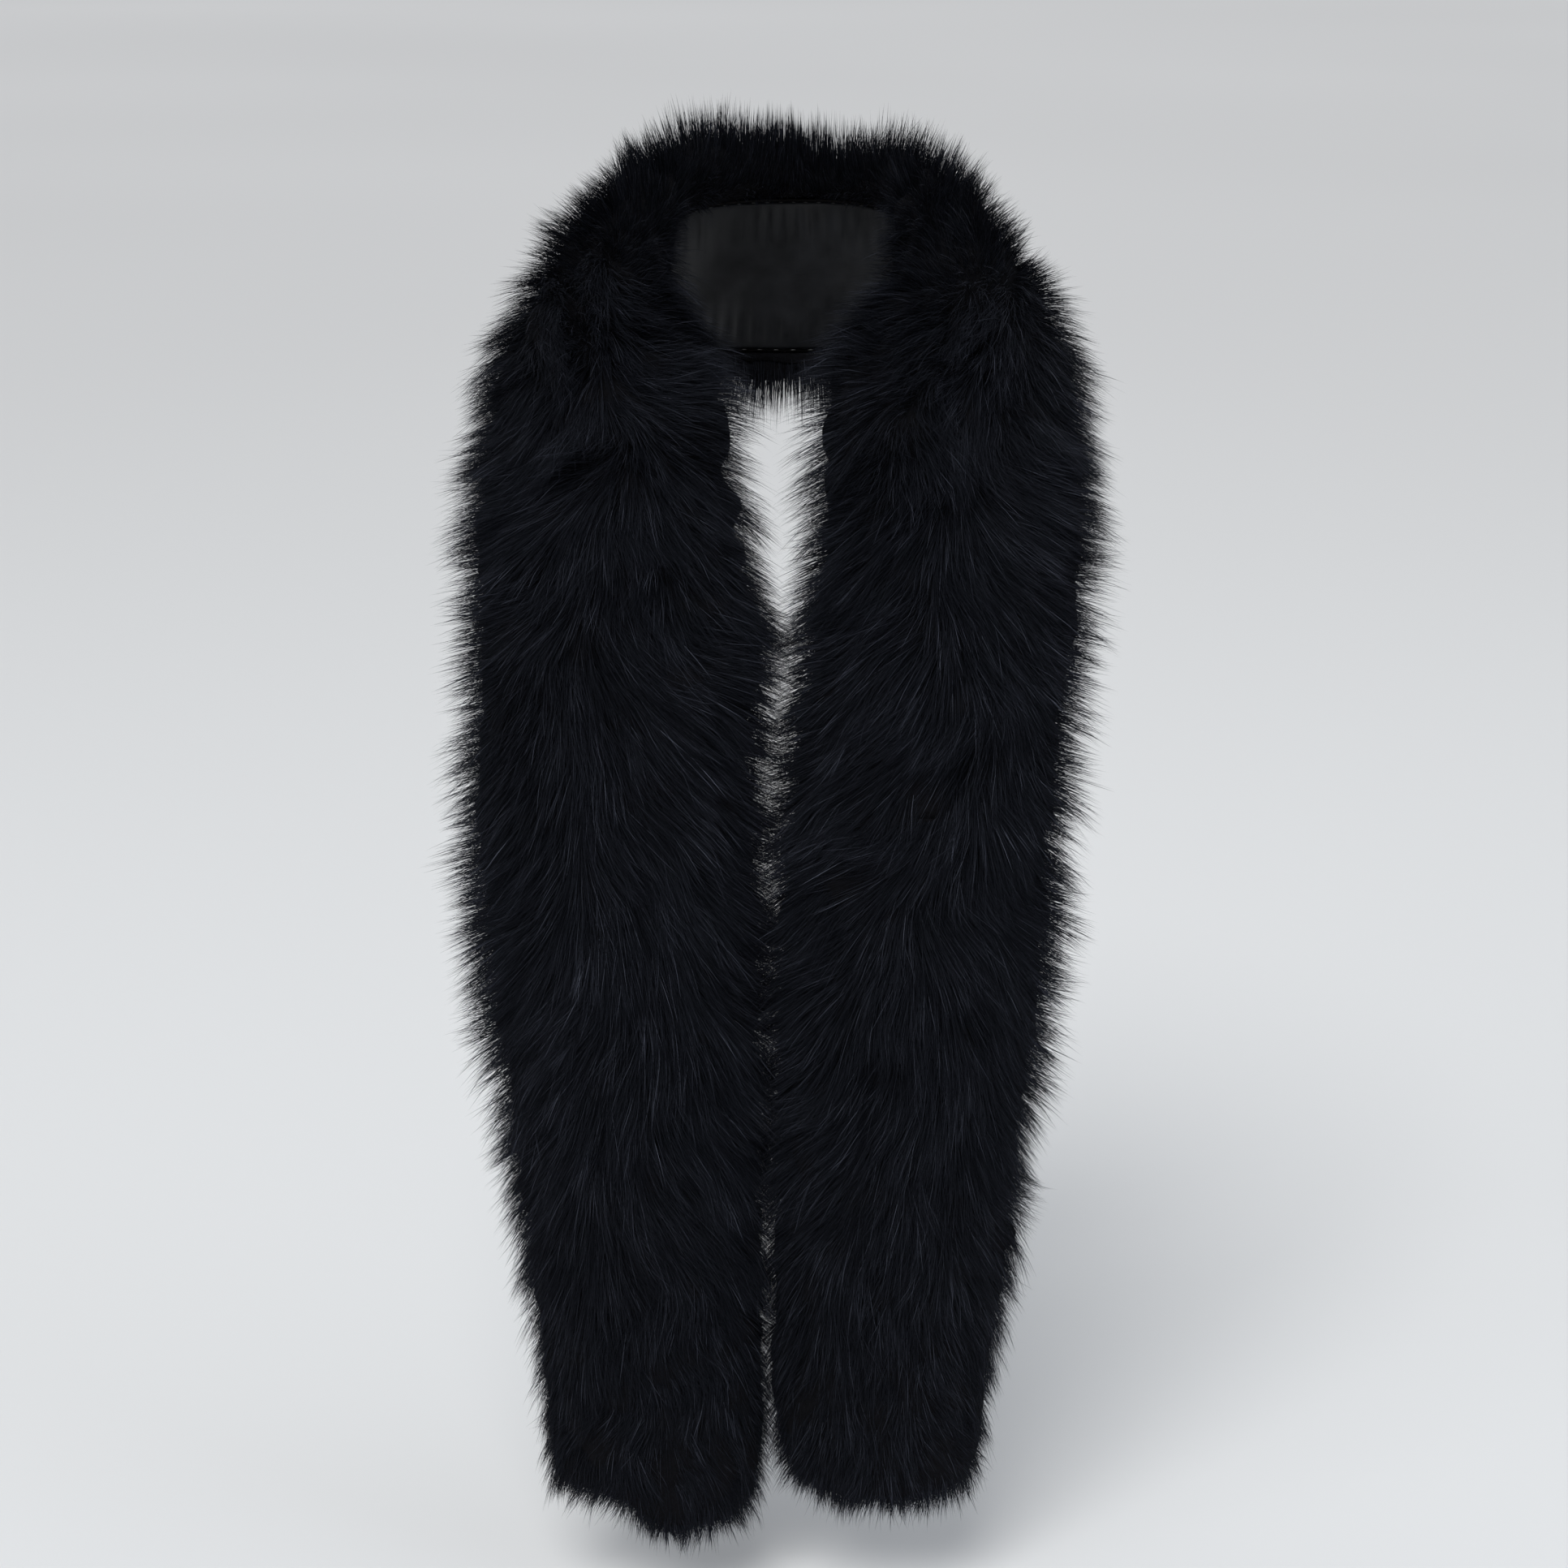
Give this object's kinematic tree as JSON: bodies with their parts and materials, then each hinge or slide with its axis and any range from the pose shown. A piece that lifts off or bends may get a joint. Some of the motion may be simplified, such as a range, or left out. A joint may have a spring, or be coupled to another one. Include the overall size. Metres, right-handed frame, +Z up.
{
  "type": "fur boa",
  "caption": "Long-haired black fur boa with a satin lining, hung round a neck with both ends down the chest.",
  "frame": {"origin": "on the axis of the neck that the boa hangs round, level with the top of that neck", "axes": "+Z up, +X to the viewer's right, -Y towards the viewer, out of the wearer's chest"},
  "size_m": [0.339, 0.2682, 0.7186],
  "materials": {
    "fur": "satin",
    "skin": "matte",
    "wadding": "matte",
    "lining": "satin",
    "tape": "matte"
  },
  "bodies": {
    "collar": {"fur_left_shoulder": "fur", "fur_nape": "fur", "fur_right_shoulder": "fur", "hide_left_shoulder": "skin", "hide_nape": "skin", "hide_right_shoulder": "skin", "lining_collar": "lining", "neck_stay_tape": "tape", "wadding_collar": "wadding"},
    "left_upper": {"fur_left_chest": "fur", "fur_left_waist": "fur", "hide_left_chest": "skin", "hide_left_waist": "skin", "lining_left_upper": "lining", "wadding_left_upper": "wadding"},
    "left_lower": {"fur_left_end": "fur", "fur_left_hip": "fur", "hide_left_end": "skin", "hide_left_hip": "skin", "lining_left_lower": "lining", "wadding_left_lower": "wadding"},
    "right_upper": {"fur_right_chest": "fur", "fur_right_waist": "fur", "hide_right_chest": "skin", "hide_right_waist": "skin", "lining_right_upper": "lining", "wadding_right_upper": "wadding"},
    "right_lower": {"fur_right_end": "fur", "fur_right_hip": "fur", "hide_right_end": "skin", "hide_right_hip": "skin", "lining_right_lower": "lining", "wadding_right_lower": "wadding"}
  },
  "joints": [
    {"name": "left_side_swing", "type": "hinge", "parent": "collar", "child": "left_upper", "pos_m": [-0.087, -0.098, -0.262], "axis": [0, 1, 0], "range_deg": [0, 10]},
    {"name": "left_end_lift", "type": "hinge", "parent": "left_upper", "child": "left_lower", "pos_m": [-0.076, -0.111, -0.43], "axis": [-1, 0, 0], "range_deg": [0, 60]},
    {"name": "right_side_swing", "type": "hinge", "parent": "collar", "child": "right_upper", "pos_m": [0.063, -0.098, -0.262], "axis": [0, -1, 0], "range_deg": [0, 10]},
    {"name": "right_end_lift", "type": "hinge", "parent": "right_upper", "child": "right_lower", "pos_m": [0.046, -0.111, -0.43], "axis": [-1, 0, 0], "range_deg": [0, 60]}
  ]
}
